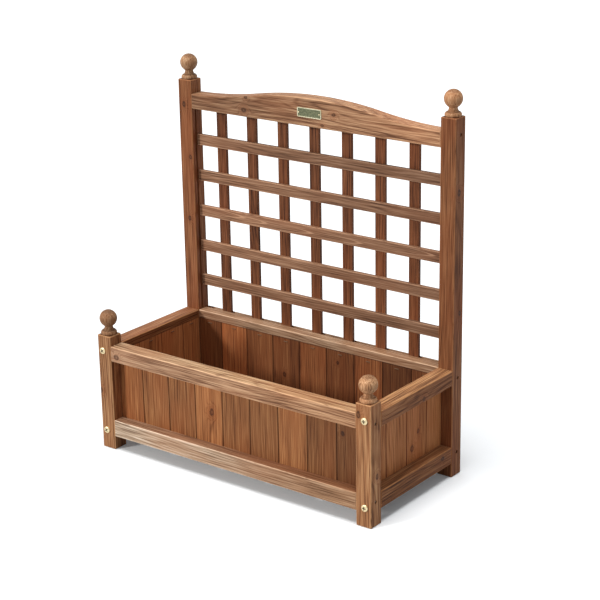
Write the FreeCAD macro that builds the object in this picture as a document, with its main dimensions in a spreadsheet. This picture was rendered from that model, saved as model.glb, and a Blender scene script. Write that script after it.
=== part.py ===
import FreeCAD, Part

import math
import os
import re

import Sketcher
from FreeCAD import Placement, Rotation, Vector

# Planter box on four posts, with an open lattice between its two tall rear posts.
# Millimetres. X runs left to right, Y front to back, Z up from the floor.
# The origin is on the floor, below the middle of the box.

SIZES = {
    # frame
    "overall_width": 635.0,
    "overall_depth": 294.0,
    "post_side": 32.0,
    "front_post_height": 232.0,
    "rear_post_height": 681.0,
    "top_rail_drop": 19.0,
    "top_rail_height": 30.0,
    "low_rail_level": 28.0,
    "low_rail_height": 33.5,
    "frame_ease": 1.4,
    # boarded walls, housed in rebates on the inner side of the rails
    "board_thickness": 8.0,
    "board_cover": 65.0,
    "board_joint": 0.4,
    "board_ease": 0.8,
    "rebate_lap": 14.5,
    "end_gap": 0.4,
    # arched rail over the lattice
    "arch_drop": 55.5,
    "arch_end_height": 29.0,
    "arch_rise": 25.0,
    # lattice
    "lath_width": 21.5,
    "lath_thickness": 8.0,
    "lath_ease": 0.6,
    "upright_start": 54.3,
    "upright_end": 69.1,
    "cross_start": 60.9,
    "cross_end": 63.8,
    "groove_setback": 22.0,
    "groove_play": 0.5,
    "groove_depth": 6.0,
    "quirk_setback": 9.5,
    "quirk_width": 4.5,
    "quirk_depth": 3.5,
    # turned post caps
    "ball_diameter": 34.0,
    "neck_diameter": 16.0,
    "collar_diameter": 31.0,
    "collar_height": 8.0,
    "collar_cone_height": 5.5,
    "cap_height": 48.5,
    "dowel_diameter": 10.0,
    "dowel_length": 20.0,
    "dowel_play": 0.2,
    # brass pan-head screws, through the posts into the side rails
    "pan_head_diameter": 13.5,
    "pan_head_height": 3.2,
    "pan_shank_diameter": 6.0,
    "pan_screw_length": 65.0,
    "pan_inset": 13.0,
    "pan_upper_drop": 11.6,
    "pan_lower_rise": 9.7,
    "slot_span": 7.4,
    "slot_width": 1.6,
    "slot_depth": 1.8,
    # sunk screws, through the posts into the front, rear and arched rails
    "sunk_hole_diameter": 6.6,
    "sunk_hole_depth": 5.0,
    "sunk_head_diameter": 6.0,
    "sunk_head_height": 2.5,
    "sunk_shank_diameter": 4.0,
    "sunk_screw_length": 60.0,
    "sunk_inset": 15.0,
    "sunk_upper_drop": 18.7,
    "sunk_lower_rise": 18.6,
    "sunk_arch_rise": 23.9,
    "hole_play": 0.15,
    # floor of the box
    "slat_thickness": 10.0,
    "slat_gap": 8.0,
    "slat_play": 0.5,
    "cleat_side": 14.0,
    "cleat_drop": 3.0,
    # name plate and its pins
    "plate_length": 55.0,
    "plate_height": 18.0,
    "plate_thickness": 1.2,
    "plate_corner": 2.5,
    "plate_rise": 26.5,
    "pin_inset": 4.0,
    "pin_head_diameter": 2.8,
    "pin_head_height": 0.7,
    "pin_shank_diameter": 1.4,
    "pin_length": 9.0,
    # staples through the board ends; brads in the lattice crossings and the floor
    "staple_crown": 9.0,
    "staple_wire": 1.2,
    "staple_leg": 16.0,
    "staple_top_drop": 7.0,
    "staple_low_rise": 11.0,
    "brad_head_diameter": 3.0,
    "brad_head_height": 0.8,
    "brad_shank_diameter": 1.6,
    "brad_length": 13.0,
    "brad_inset": 7.0,
}
LONG_WALL_BOARDS = 9
SHORT_WALL_BOARDS = 4
UPRIGHT_COUNT = 7
CROSS_COUNT = 5
SLAT_COUNT = 5

# derived measures, written once in the words of the sheet
HALF_WIDTH = "overall_width / 2"
HALF_DEPTH = "overall_depth / 2"
OPENING_WIDTH = "(overall_width - 2 * post_side)"
OPENING_DEPTH = "(overall_depth - 2 * post_side)"
INNER_X = f"({HALF_WIDTH} - post_side)"
INNER_Y = f"({HALF_DEPTH} - post_side)"
TOP_RAIL_LEVEL = "(front_post_height - top_rail_drop)"
ARCH_LEVEL = "(rear_post_height - arch_drop)"
LEDGE = "(low_rail_level + low_rail_height - rebate_lap)"
BOARD_LENGTH = f"({TOP_RAIL_LEVEL} - top_rail_height + rebate_lap - end_gap - {LEDGE})"
GROOVE_WIDTH = "(lath_thickness + groove_play)"
UPRIGHT_BACK_Y = f"({INNER_Y} + groove_setback + groove_play / 2 + lath_thickness)"
UPRIGHT_FRONT_Y = f"({INNER_Y} + groove_setback + groove_play / 2)"
CROSS_FRONT_Y = f"({UPRIGHT_FRONT_Y} - lath_thickness)"
SLAT_LEVEL = f"({LEDGE} - cleat_drop)"

# turns that carry a piece's own +Z to the named direction and keep its lowest corner lowest
DIAGONAL = Vector(1, 1, 1)
ALONG = {"z": Rotation(), "x": Rotation(DIAGONAL, 120), "y": Rotation(DIAGONAL, 240)}
# turns that carry a drill's +Z to the named direction
TOWARDS = {
    "+z": Rotation(),
    "-z": Rotation(Vector(1, 0, 0), 180),
    "+x": Rotation(Vector(0, 1, 0), 90),
    "-x": Rotation(Vector(0, 1, 0), -90),
    "+y": Rotation(Vector(1, 0, 0), -90),
    "-y": Rotation(Vector(1, 0, 0), 90),
}

os.makedirs("parts", exist_ok=True)
doc = FreeCAD.newDocument("TrellisPlanter")
pieces = []


def make_sheet():
    """Put every driving size in the sheet, with its name as the cell's alias."""
    sheet = doc.addObject("Spreadsheet::Sheet", "Sizes")
    for row, (alias, value) in enumerate(SIZES.items(), start=1):
        sheet.set(f"A{row}", alias)
        sheet.set(f"B{row}", str(value))
        sheet.setAlias(f"B{row}", alias)
    doc.recompute()


def words(formula):
    """Turn a formula in plain size names into one that points at the sheet's cells."""
    return re.sub(r"[a-z][a-z_]+", lambda name: f"Sizes.{name.group()}", formula)


def bind(item, path, formula):
    item.setExpression(path, words(formula))


def put(item, x, y, z):
    """Bind the place of a piece to three formulas."""
    for path, formula in (("x", x), ("y", y), ("z", z)):
        bind(item, f"Placement.Base.{path}", formula)


def piece(item, label):
    """Name a finished sub-part and list it for export."""
    item.Label = label
    pieces.append(item)
    return item


def plane_of(body, role):
    return next(plane for plane in body.Origin.OriginFeatures if plane.Role == role)


def rectangle(sketch, wide, high):
    """Draw a rectangle from the sketch's origin, its two sides bound to formulas."""
    corners = [Vector(0, 0, 0), Vector(10, 0, 0), Vector(10, 10, 0), Vector(0, 10, 0)]
    for start, end in zip(corners, corners[1:] + corners[:1]):
        sketch.addGeometry(Part.LineSegment(start, end))
    for side in range(4):
        sketch.addConstraint(Sketcher.Constraint("Coincident", side, 2, (side + 1) % 4, 1))
        sketch.addConstraint(Sketcher.Constraint("Horizontal" if side % 2 == 0 else "Vertical", side))
    sketch.addConstraint(Sketcher.Constraint("Coincident", 0, 1, -1, 1))
    across = sketch.addConstraint(Sketcher.Constraint("DistanceX", 0, 1, 0, 2, 10))
    upward = sketch.addConstraint(Sketcher.Constraint("DistanceY", 1, 1, 1, 2, 10))
    bind(sketch, f"Constraints[{across}]", wide)
    bind(sketch, f"Constraints[{upward}]", high)


def ease(body, base, size, edges=None):
    """Take the sharpness off the edges of a body, all of them or the ones named."""
    chamfer = body.newObject("PartDesign::Chamfer", "Ease")
    chamfer.Base = (base, edges or [f"Edge{n}" for n in range(1, len(base.Shape.Edges) + 1)])
    bind(chamfer, "Size", size)
    body.Tip = chamfer


def timber(name, along, wide, high, length, corner, easing):
    """A planed length of wood: its section drawn square to the grain, then padded along it.

    along x: wide is in Y and high in Z; along y: wide is in Z and high in X; along z: X and Y.
    """
    body = doc.addObject("PartDesign::Body", f"{name}_stock")
    body.Placement = Placement(Vector(), ALONG[along])
    put(body, *corner)
    sketch = body.newObject("Sketcher::SketchObject", f"{name}_section")
    sketch.AttachmentSupport = (plane_of(body, "XY_Plane"), "")
    sketch.MapMode = "FlatFace"
    rectangle(sketch, wide, high)
    pad = body.newObject("PartDesign::Pad", f"{name}_length")
    pad.Profile = sketch
    bind(pad, "Length", length)
    doc.recompute()
    ease(body, pad, easing)
    return body


def block(name, corner, size):
    """A plain box, used to cut grooves and rebates and for small fittings."""
    box = doc.addObject("Part::Box", name)
    for side, formula in zip(("Length", "Width", "Height"), size):
        bind(box, side, formula)
    put(box, *corner)
    return box


def rod(name, way, start, diameter, length):
    """A round bar from a start point in the named direction."""
    cylinder = doc.addObject("Part::Cylinder", name)
    cylinder.Placement = Placement(Vector(), TOWARDS[way])
    bind(cylinder, "Radius", f"({diameter}) / 2")
    bind(cylinder, "Height", length)
    put(cylinder, *start)
    return cylinder


def fused(name, shapes):
    fusion = doc.addObject("Part::MultiFuse", name)
    fusion.Shapes = shapes
    return fusion


def group(name, shapes):
    """Separate solids that share one name, such as identical fasteners."""
    compound = doc.addObject("Part::Compound", name)
    compound.Links = shapes
    return compound


def worked(name, base, tools):
    """A piece with its grooves, rebates and holes cut."""
    cut = doc.addObject("Part::Cut", f"{name}_worked")
    cut.Base = base
    cut.Tool = tools[0] if len(tools) == 1 else group(f"{name}_tools", tools)
    return cut


def mirrored(side, formula):
    """The formula for the left or front (-1) or the right or rear (+1)."""
    return f"{side} * ({formula})"


# ---- where the screws run ------------------------------------------------------------------------

PAN_LEVELS = {
    "upper": f"({TOP_RAIL_LEVEL} - pan_upper_drop)",
    "lower": "(low_rail_level + pan_lower_rise)",
}
SUNK_LEVELS = {
    "upper": f"({TOP_RAIL_LEVEL} - sunk_upper_drop)",
    "lower": "(low_rail_level + sunk_lower_rise)",
}
ARCH_SCREW_LEVEL = f"({ARCH_LEVEL} + sunk_arch_rise)"
PAN_X = f"({HALF_WIDTH} - pan_inset)"
SUNK_Y = f"({HALF_DEPTH} - sunk_inset)"


def inward(axis, side):
    """The drilling direction from the outer face at that side towards the middle."""
    return ("-" if side > 0 else "+") + axis


def pan_hole(name, side_x, side_y, level):
    start = (mirrored(side_x, PAN_X), mirrored(side_y, HALF_DEPTH), level)
    width = "pan_shank_diameter + 2 * hole_play"
    return rod(name, inward("y", side_y), start, width, "pan_screw_length + end_gap")


def sunk_hole(name, side_x, side_y, level):
    start = (mirrored(side_x, HALF_WIDTH), mirrored(side_y, SUNK_Y), level)
    width = "sunk_shank_diameter + 2 * hole_play"
    return rod(name, inward("x", side_x), start, width, "sunk_hole_depth + sunk_screw_length + end_gap")


def sunk_mouth(name, side_x, side_y, level):
    start = (mirrored(side_x, HALF_WIDTH), mirrored(side_y, SUNK_Y), level)
    return rod(name, inward("x", side_x), start, "sunk_hole_diameter", "sunk_hole_depth")


def pan_screw(name, side_x, side_y, level):
    """Pan-head screw with a cross recess, its head on the post's face."""
    x = mirrored(side_x, PAN_X)
    face = mirrored(side_y, HALF_DEPTH)
    outside = mirrored(side_y, f"{HALF_DEPTH} + pan_head_height")
    way = inward("y", side_y)
    head = rod(f"{name}_head", way, (x, outside, level), "pan_head_diameter", "pan_head_height")
    shank = rod(f"{name}_shank", way, (x, face, level), "pan_shank_diameter", "pan_screw_length")
    whole = fused(f"{name}_bar", [head, shank])
    rims = []
    for number, (wide, high) in enumerate((("slot_span", "slot_width"), ("slot_width", "slot_span"))):
        low_y = outside if side_y < 0 else f"{outside} - slot_depth"
        corner = (f"{x} - {wide} / 2", low_y, f"{level} - {high} / 2")
        rims.append(block(f"{name}_slot{number}", corner, (wide, "slot_depth", high)))
    return worked(name, whole, [fused(f"{name}_recess", rims)])


def sunk_screw(name, side_x, side_y, level):
    """Screw whose head lies at the bottom of its sunk hole."""
    y = mirrored(side_y, SUNK_Y)
    floor = mirrored(side_x, f"{HALF_WIDTH} - sunk_hole_depth")
    top = mirrored(side_x, f"{HALF_WIDTH} - sunk_hole_depth + sunk_head_height")
    way = inward("x", side_x)
    head = rod(f"{name}_head", way, (top, y, level), "sunk_head_diameter", "sunk_head_height")
    shank = rod(f"{name}_shank", way, (floor, y, level), "sunk_shank_diameter", "sunk_screw_length")
    return fused(name, [head, shank])


# ---- posts and their turned caps -----------------------------------------------------------------

POSTS = {
    "front_left": (-1, -1, "front_post_height"),
    "front_right": (1, -1, "front_post_height"),
    "rear_left": (-1, 1, "rear_post_height"),
    "rear_right": (1, 1, "rear_post_height"),
}


def low_corner(side, half, thick):
    """The lowest coordinate of a piece of that thickness whose outer face is at the half size."""
    return f"-({half})" if side < 0 else f"({half}) - {thick}"


def post(name, side_x, side_y, height):
    """Square post with a dowel hole in its head, screw holes, and on the tall ones a quirk."""
    corner = (low_corner(side_x, HALF_WIDTH, "post_side"), low_corner(side_y, HALF_DEPTH, "post_side"), "0")
    label = f"{name}_post"
    body = timber(label, "z", "post_side", "post_side", height, corner, "frame_ease")
    centre_x = mirrored(side_x, f"{HALF_WIDTH} - post_side / 2")
    centre_y = mirrored(side_y, f"{HALF_DEPTH} - post_side / 2")
    socket = rod(
        f"{label}_socket",
        "-z",
        (centre_x, centre_y, height),
        "dowel_diameter + dowel_play",
        "dowel_length + end_gap",
    )
    tools = [socket]
    for key in ("upper", "lower"):
        tools.append(pan_hole(f"{label}_pan_{key}", side_x, side_y, PAN_LEVELS[key]))
        tools.append(sunk_hole(f"{label}_sunk_{key}", side_x, side_y, SUNK_LEVELS[key]))
        tools.append(sunk_mouth(f"{label}_mouth_{key}", side_x, side_y, SUNK_LEVELS[key]))
    if side_y > 0:
        tools.append(sunk_hole(f"{label}_sunk_arch", side_x, side_y, ARCH_SCREW_LEVEL))
        tools.append(sunk_mouth(f"{label}_mouth_arch", side_x, side_y, ARCH_SCREW_LEVEL))
        quirk_x = f"-({INNER_X}) - quirk_depth" if side_x < 0 else INNER_X
        quirk = (quirk_x, f"{INNER_Y} + quirk_setback", TOP_RAIL_LEVEL)
        quirk_size = ("quirk_depth", "quirk_width", f"{ARCH_LEVEL} - {TOP_RAIL_LEVEL}")
        tools.append(block(f"{label}_quirk", quirk, quirk_size))
    return piece(worked(label, body, tools), label)


def cap(name, side_x, side_y, height):
    """Turned ball on a neck and collar, with a dowel that goes down into the post."""
    label = f"{name}_cap"
    x = mirrored(side_x, f"{HALF_WIDTH} - post_side / 2")
    y = mirrored(side_y, f"{HALF_DEPTH} - post_side / 2")
    ball = doc.addObject("Part::Sphere", f"{label}_ball")
    bind(ball, "Radius", "ball_diameter / 2")
    put(ball, x, y, f"{height} + cap_height - ball_diameter / 2")
    bead = doc.addObject("Part::Torus", f"{label}_bead")
    bind(bead, "Radius1", "collar_diameter / 2 - collar_height / 2")
    bind(bead, "Radius2", "collar_height / 2")
    put(bead, x, y, f"{height} + collar_height / 2")
    core = rod(f"{label}_core", "+z", (x, y, height), "collar_diameter - collar_height", "collar_height")
    cone = doc.addObject("Part::Cone", f"{label}_cone")
    bind(cone, "Radius1", "collar_diameter / 2 - collar_height / 2")
    bind(cone, "Radius2", "neck_diameter / 2")
    bind(cone, "Height", "collar_cone_height")
    put(cone, x, y, f"{height} + collar_height")
    neck = rod(f"{label}_neck", "+z", (x, y, height), "neck_diameter", "cap_height - ball_diameter / 2")
    dowel = rod(f"{label}_dowel", "-z", (x, y, f"{height} + collar_height / 2"), "dowel_diameter",
                "dowel_length + collar_height / 2")
    return piece(fused(f"{label}_turned", [ball, bead, core, cone, neck, dowel]), label)


# ---- rails ---------------------------------------------------------------------------------------

RAIL_LEVELS = {
    "top": (f"{TOP_RAIL_LEVEL} - top_rail_height", "top_rail_height", "upper"),
    "low": ("low_rail_level", "low_rail_height", "lower"),
}


def rebate_box(name, tier, corner_xy, size_xy):
    """The step on the inner side of a rail that houses the board ends."""
    level = f"{TOP_RAIL_LEVEL} - top_rail_height" if tier == "top" else LEDGE
    return block(name, (*corner_xy, level), (*size_xy, "rebate_lap"))


def cross_rail(side_y, tier):
    """Front or rear rail, between the posts, held by the sunk screws."""
    base_level, height, key = RAIL_LEVELS[tier]
    label = f"{'rear' if side_y > 0 else 'front'}_{tier}_rail"
    corner = (f"-{INNER_X}", low_corner(side_y, HALF_DEPTH, "post_side"), base_level)
    body = timber(label, "x", "post_side", height, OPENING_WIDTH, corner, "frame_ease")
    inner = INNER_Y if side_y > 0 else f"-{INNER_Y} - board_thickness"
    step = (OPENING_WIDTH, "board_thickness")
    tools = [rebate_box(f"{label}_rebate", tier, (f"-{INNER_X}", inner), step)]
    for side_x in (-1, 1):
        tools.append(sunk_hole(f"{label}_hole{side_x + 1}", side_x, side_y, SUNK_LEVELS[key]))
    tools += rail_staple_holes(label, "rear" if side_y > 0 else "front", tier)
    if side_y > 0 and tier == "top":
        tools.append(lattice_groove(f"{label}_groove", f"{TOP_RAIL_LEVEL} - groove_depth"))
    return piece(worked(label, body, tools), label)


def side_rail(side_x, tier):
    """Left or right rail, between the front and rear posts, held by the pan-head screws."""
    base_level, height, key = RAIL_LEVELS[tier]
    label = f"{'right' if side_x > 0 else 'left'}_{tier}_rail"
    corner = (low_corner(side_x, HALF_WIDTH, "post_side"), f"-{INNER_Y}", base_level)
    body = timber(label, "y", height, "post_side", OPENING_DEPTH, corner, "frame_ease")
    inner = INNER_X if side_x > 0 else f"-{INNER_X} - board_thickness"
    step = ("board_thickness", OPENING_DEPTH)
    tools = [rebate_box(f"{label}_rebate", tier, (inner, f"-{INNER_Y}"), step)]
    for side_y in (-1, 1):
        tools.append(pan_hole(f"{label}_hole{side_y + 1}", side_x, side_y, PAN_LEVELS[key]))
    tools += rail_staple_holes(label, "right" if side_x > 0 else "left", tier)
    return piece(worked(label, body, tools), label)


def rail_staple_holes(label, title, tier):
    count = len(WALLS[title][2]) - 1
    return [hole for index in range(count) for hole in staple_holes(label, title, index, tier)]


def lattice_groove(name, level):
    """Groove that takes the ends of the upright laths."""
    corner = (f"-{INNER_X}", f"{INNER_Y} + groove_setback", level)
    return block(name, corner, (OPENING_WIDTH, GROOVE_WIDTH, "groove_depth"))


def arch_outline(sketch):
    """Flat underside, and a top of three equal arcs: hollow, crown, hollow, level at both ends."""
    half = (SIZES["overall_width"] - 2 * SIZES["post_side"]) / 2
    end = SIZES["arch_end_height"]
    rise = SIZES["arch_rise"]
    radius = (half**2 + rise**2) / (4 * rise)
    right_centre = Vector(half, end + radius, 0)
    crown_centre = Vector(0, end + rise - radius, 0)
    left_centre = Vector(-half, end + radius, 0)
    swing = math.asin(half / 2 / radius)
    up = math.pi / 2

    def arc(centre, start, stop):
        return Part.ArcOfCircle(Part.Circle(centre, Vector(0, 0, 1), radius), start, stop)

    bottom = sketch.addGeometry(Part.LineSegment(Vector(-half, 0, 0), Vector(half, 0, 0)))
    right = sketch.addGeometry(Part.LineSegment(Vector(half, 0, 0), Vector(half, end, 0)))
    hollow = sketch.addGeometry(arc(right_centre, -up - swing, -up))
    crown = sketch.addGeometry(arc(crown_centre, up - swing, up + swing))
    second = sketch.addGeometry(arc(left_centre, -up, -up + swing))
    left = sketch.addGeometry(Part.LineSegment(Vector(-half, end, 0), Vector(-half, 0, 0)))
    rules = (
        ("Coincident", bottom, 2, right, 1),
        ("Coincident", right, 2, hollow, 2),
        ("Tangent", hollow, 1, crown, 1),
        ("Tangent", crown, 2, second, 2),
        ("Coincident", second, 1, left, 1),
        ("Coincident", left, 2, bottom, 1),
        ("Horizontal", bottom),
        ("Vertical", right),
        ("Vertical", left),
        ("Equal", hollow, crown),
        ("Equal", second, crown),
        ("PointOnObject", bottom, 1, -1),
        ("PointOnObject", crown, 3, -2),
        ("Vertical", right, 2, hollow, 3),
        ("Vertical", left, 1, second, 3),
    )
    for rule in rules:
        sketch.addConstraint(Sketcher.Constraint(*rule))
    span = sketch.addConstraint(Sketcher.Constraint("DistanceX", bottom, 1, bottom, 2, 2 * half))
    height = sketch.addConstraint(Sketcher.Constraint("DistanceY", right, 1, right, 2, end))
    curve = sketch.addConstraint(Sketcher.Constraint("Radius", crown, radius))
    bind(sketch, f"Constraints[{span}]", OPENING_WIDTH)
    bind(sketch, f"Constraints[{height}]", "arch_end_height")
    bind(sketch, f"Constraints[{curve}]", f"({INNER_X} ^ 2 + arch_rise ^ 2) / (4 * arch_rise)")


def arched_rail():
    """Shaped rail over the lattice, grooved below for the uprights."""
    label = "arched_rail"
    body = doc.addObject("PartDesign::Body", f"{label}_stock")
    sketch = body.newObject("Sketcher::SketchObject", f"{label}_outline")
    sketch.AttachmentSupport = (plane_of(body, "XZ_Plane"), "")
    sketch.MapMode = "FlatFace"
    arch_outline(sketch)
    pad = body.newObject("PartDesign::Pad", f"{label}_thickness")
    pad.Profile = sketch
    bind(pad, "Length", "post_side")
    put(body, "0", HALF_DEPTH, ARCH_LEVEL)
    doc.recompute()
    ease(body, pad, "frame_ease")
    tools = [lattice_groove(f"{label}_groove", ARCH_LEVEL)]
    for side_x in (-1, 1):
        tools.append(sunk_hole(f"{label}_hole{side_x + 1}", side_x, 1, ARCH_SCREW_LEVEL))
        pin_x = mirrored(side_x, "plate_length / 2 - pin_inset")
        start = (pin_x, INNER_Y, PLATE_LEVEL)
        width = "pin_shank_diameter + 2 * hole_play"
        depth = "pin_length - plate_thickness + end_gap"
        tools.append(rod(f"{label}_pin{side_x + 1}", "+y", start, width, depth))
    return piece(worked(label, body, tools), label)


# ---- name plate ----------------------------------------------------------------------------------

PLATE_LEVEL = f"({ARCH_LEVEL} + plate_rise)"
PLATE_FACE_Y = f"({INNER_Y} - plate_thickness)"


def name_plate():
    """Bare brass plate with clipped corners, pinned to the arched rail at its two ends."""
    label = "name_plate"
    body = doc.addObject("PartDesign::Body", f"{label}_blank")
    body.Placement = Placement(Vector(), ALONG["x"])
    sketch = body.newObject("Sketcher::SketchObject", f"{label}_outline")
    sketch.AttachmentSupport = (plane_of(body, "XY_Plane"), "")
    sketch.MapMode = "FlatFace"
    rectangle(sketch, "plate_thickness", "plate_height")
    put(body, "-plate_length / 2", PLATE_FACE_Y, f"{PLATE_LEVEL} - plate_height / 2")
    pad = body.newObject("PartDesign::Pad", f"{label}_length")
    pad.Profile = sketch
    bind(pad, "Length", "plate_length")
    doc.recompute()
    short = [
        f"Edge{number}"
        for number, edge in enumerate(pad.Shape.Edges, start=1)
        if abs(edge.Length - SIZES["plate_thickness"]) < 1e-6
    ]
    ease(body, pad, "plate_corner", short)
    holes = []
    pins = []
    for side_x in (-1, 1):
        x = mirrored(side_x, "plate_length / 2 - pin_inset")
        width = "pin_shank_diameter + 2 * hole_play"
        start = (x, PLATE_FACE_Y, PLATE_LEVEL)
        holes.append(rod(f"{label}_hole{side_x + 1}", "+y", start, width, "plate_thickness"))
        crown = (x, f"{PLATE_FACE_Y} - pin_head_height", PLATE_LEVEL)
        head = rod(f"pin{side_x + 1}_head", "+y", crown, "pin_head_diameter", "pin_head_height")
        shank = rod(f"pin{side_x + 1}_shank", "+y", start, "pin_shank_diameter", "pin_length")
        pins.append(fused(f"pin{side_x + 1}", [head, shank]))
    piece(worked(label, body, holes), label)
    piece(group("plate_pins_group", pins), "plate_pins")


# ---- boarded walls -------------------------------------------------------------------------------


def wall_seams(count, opening):
    """Seams of a wall: whole boards about the middle, and a ripped board at each end."""
    inner = [f"(({index} - {count / 2}) * board_cover)" for index in range(1, count)]
    return [f"(-{opening} / 2)", *inner, f"({opening} / 2)"]


# each wall: the direction it runs in, its side of the planter, and its seams
LONG_SEAMS = wall_seams(LONG_WALL_BOARDS, OPENING_WIDTH)
SHORT_SEAMS = wall_seams(SHORT_WALL_BOARDS, OPENING_DEPTH)
WALLS = {
    "front": ("x", -1, LONG_SEAMS),
    "rear": ("x", 1, LONG_SEAMS),
    "left": ("y", -1, SHORT_SEAMS),
    "right": ("y", 1, SHORT_SEAMS),
}
STAPLE_LEVELS = {
    "top": f"({LEDGE} + {BOARD_LENGTH} - staple_top_drop)",
    "low": f"({LEDGE} + staple_low_rise)",
}


def board_middle(seams, index):
    return f"(({seams[index]} + {seams[index + 1]}) / 2)"


def leg_starts(title, index, tier):
    """Where the two legs of a staple enter the inner face of a board, and their direction."""
    axis, side, seams = WALLS[title]
    level = STAPLE_LEVELS[tier]
    starts = []
    for end in (-1, 1):
        along = f"{board_middle(seams, index)} + {end} * (staple_crown - staple_wire) / 2"
        face = mirrored(side, INNER_Y if axis == "x" else INNER_X)
        starts.append((along, face, level) if axis == "x" else (face, along, level))
    way = ("+" if side > 0 else "-") + ("y" if axis == "x" else "x")
    return starts, way


def staple_holes(name, title, index, tier):
    starts, way = leg_starts(title, index, tier)
    width = "staple_wire + 2 * hole_play"
    return [
        rod(f"{name}_{tier}{index}_leg{number}", way, start, width, "staple_leg + end_gap")
        for number, start in enumerate(starts)
    ]


def staple(title, index, tier):
    """Wire staple: a crown on the board's inner face, two legs through the board into the rail."""
    name = f"{title}_{tier}_staple_{index}"
    axis, side, seams = WALLS[title]
    starts, way = leg_starts(title, index, tier)
    parts = [
        rod(f"{name}_leg{number}", way, start, "staple_wire", "staple_leg")
        for number, start in enumerate(starts)
    ]
    along = f"{board_middle(seams, index)} - staple_crown / 2"
    level = f"{STAPLE_LEVELS[tier]} - staple_wire / 2"
    face = INNER_Y if axis == "x" else INNER_X
    low = f"{face} - staple_wire" if side > 0 else f"-{face}"
    if axis == "x":
        crown = block(f"{name}_crown", (along, low, level), ("staple_crown", "staple_wire", "staple_wire"))
    else:
        crown = block(f"{name}_crown", (low, along, level), ("staple_wire", "staple_crown", "staple_wire"))
    return fused(name, [crown, *parts])


def board(name, title, index):
    """One upright board between the rails, its ends in the two rebates."""
    axis, side, seams = WALLS[title]
    last = index == len(seams) - 2
    start = seams[index] if index == 0 else f"({seams[index]} + board_joint / 2)"
    stop = seams[index + 1] if last else f"({seams[index + 1]} - board_joint / 2)"
    width = f"{stop} - {start}"
    if axis == "x":
        corner = (start, low_corner(side, f"{INNER_Y} + board_thickness", "board_thickness"), LEDGE)
        body = timber(name, "z", width, "board_thickness", BOARD_LENGTH, corner, "board_ease")
    else:
        corner = (low_corner(side, f"{INNER_X} + board_thickness", "board_thickness"), start, LEDGE)
        body = timber(name, "z", "board_thickness", width, BOARD_LENGTH, corner, "board_ease")
    tools = [hole for tier in STAPLE_LEVELS for hole in staple_holes(name, title, index, tier)]
    return worked(name, body, tools)


def walls():
    """Long walls board by board; each short wall's few boards share one name."""
    staples = []
    for title, (axis, _, seams) in WALLS.items():
        count = len(seams) - 1
        boards = [board(f"{title}_board_{index + 1}", title, index) for index in range(count)]
        staples += [staple(title, index, tier) for index in range(count) for tier in STAPLE_LEVELS]
        if axis == "x":
            for number, made in enumerate(boards, start=1):
                piece(made, f"{title}_board_{number}")
        else:
            piece(group(f"{title}_boards_group", boards), f"{title}_boards")
    piece(group("board_staples_group", staples), "board_staples")


# ---- lattice -------------------------------------------------------------------------------------


UPRIGHT_PITCH = f"(({OPENING_WIDTH} - upright_start - upright_end) / {UPRIGHT_COUNT - 1})"
CROSS_PITCH = f"(({ARCH_LEVEL} - {TOP_RAIL_LEVEL} - cross_start - cross_end) / {CROSS_COUNT - 1})"


def upright_x(index):
    return f"(-{INNER_X} + upright_start + {index} * {UPRIGHT_PITCH})"


def cross_z(index):
    return f"({TOP_RAIL_LEVEL} + cross_start + {index} * {CROSS_PITCH})"


def brad(name, way, start, crown):
    """Round-headed brad: the crown is the outer middle of its head, the start its underside."""
    head = rod(f"{name}_head", way, crown, "brad_head_diameter", "brad_head_height")
    shank = rod(f"{name}_shank", way, start, "brad_shank_diameter", "brad_length")
    return fused(name, [head, shank])


def brad_hole(name, column, row):
    start = (upright_x(column), UPRIGHT_BACK_Y, cross_z(row))
    return rod(name, "-y", start, "brad_shank_diameter + 2 * hole_play", "brad_length + end_gap")


def lattice():
    """Cross laths in front, uprights behind them in the grooves, a brad at each crossing."""
    for row in range(CROSS_COUNT):
        label = f"cross_lath_{row + 1}"
        corner = (f"-{INNER_X} + end_gap", CROSS_FRONT_Y, f"{cross_z(row)} - lath_width / 2")
        length = f"{OPENING_WIDTH} - 2 * end_gap"
        body = timber(label, "x", "lath_thickness", "lath_width", length, corner, "lath_ease")
        tools = [brad_hole(f"{label}_hole{column}", column, row) for column in range(UPRIGHT_COUNT)]
        piece(worked(label, body, tools), label)
    for column in range(UPRIGHT_COUNT):
        label = f"upright_lath_{column + 1}"
        foot = f"{TOP_RAIL_LEVEL} - groove_depth"
        corner = (f"{upright_x(column)} - lath_width / 2", UPRIGHT_FRONT_Y, foot)
        length = f"{ARCH_LEVEL} - {TOP_RAIL_LEVEL} + 2 * groove_depth - end_gap"
        body = timber(label, "z", "lath_width", "lath_thickness", length, corner, "lath_ease")
        tools = [brad_hole(f"{label}_hole{row}", column, row) for row in range(CROSS_COUNT)]
        piece(worked(label, body, tools), label)
    brads = []
    for column in range(UPRIGHT_COUNT):
        for row in range(CROSS_COUNT):
            start = (upright_x(column), UPRIGHT_BACK_Y, cross_z(row))
            crown = (start[0], f"{UPRIGHT_BACK_Y} + brad_head_height", start[2])
            brads.append(brad(f"brad_{column + 1}_{row + 1}", "-y", start, crown))
    piece(group("lath_brads_group", brads), "lath_brads")


# ---- floor ---------------------------------------------------------------------------------------


SLAT_WIDTH = f"(({OPENING_WIDTH} - 2 * slat_play - {SLAT_COUNT - 1} * slat_gap) / {SLAT_COUNT})"
SLAT_TOP = f"({SLAT_LEVEL} + slat_thickness)"


def slat_left(index):
    return f"(-{INNER_X} + slat_play + {index} * ({SLAT_WIDTH} + slat_gap))"


def floor_bore(name, way, start):
    return rod(name, way, start, "brad_shank_diameter + 2 * hole_play", "brad_length + end_gap")


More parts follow.
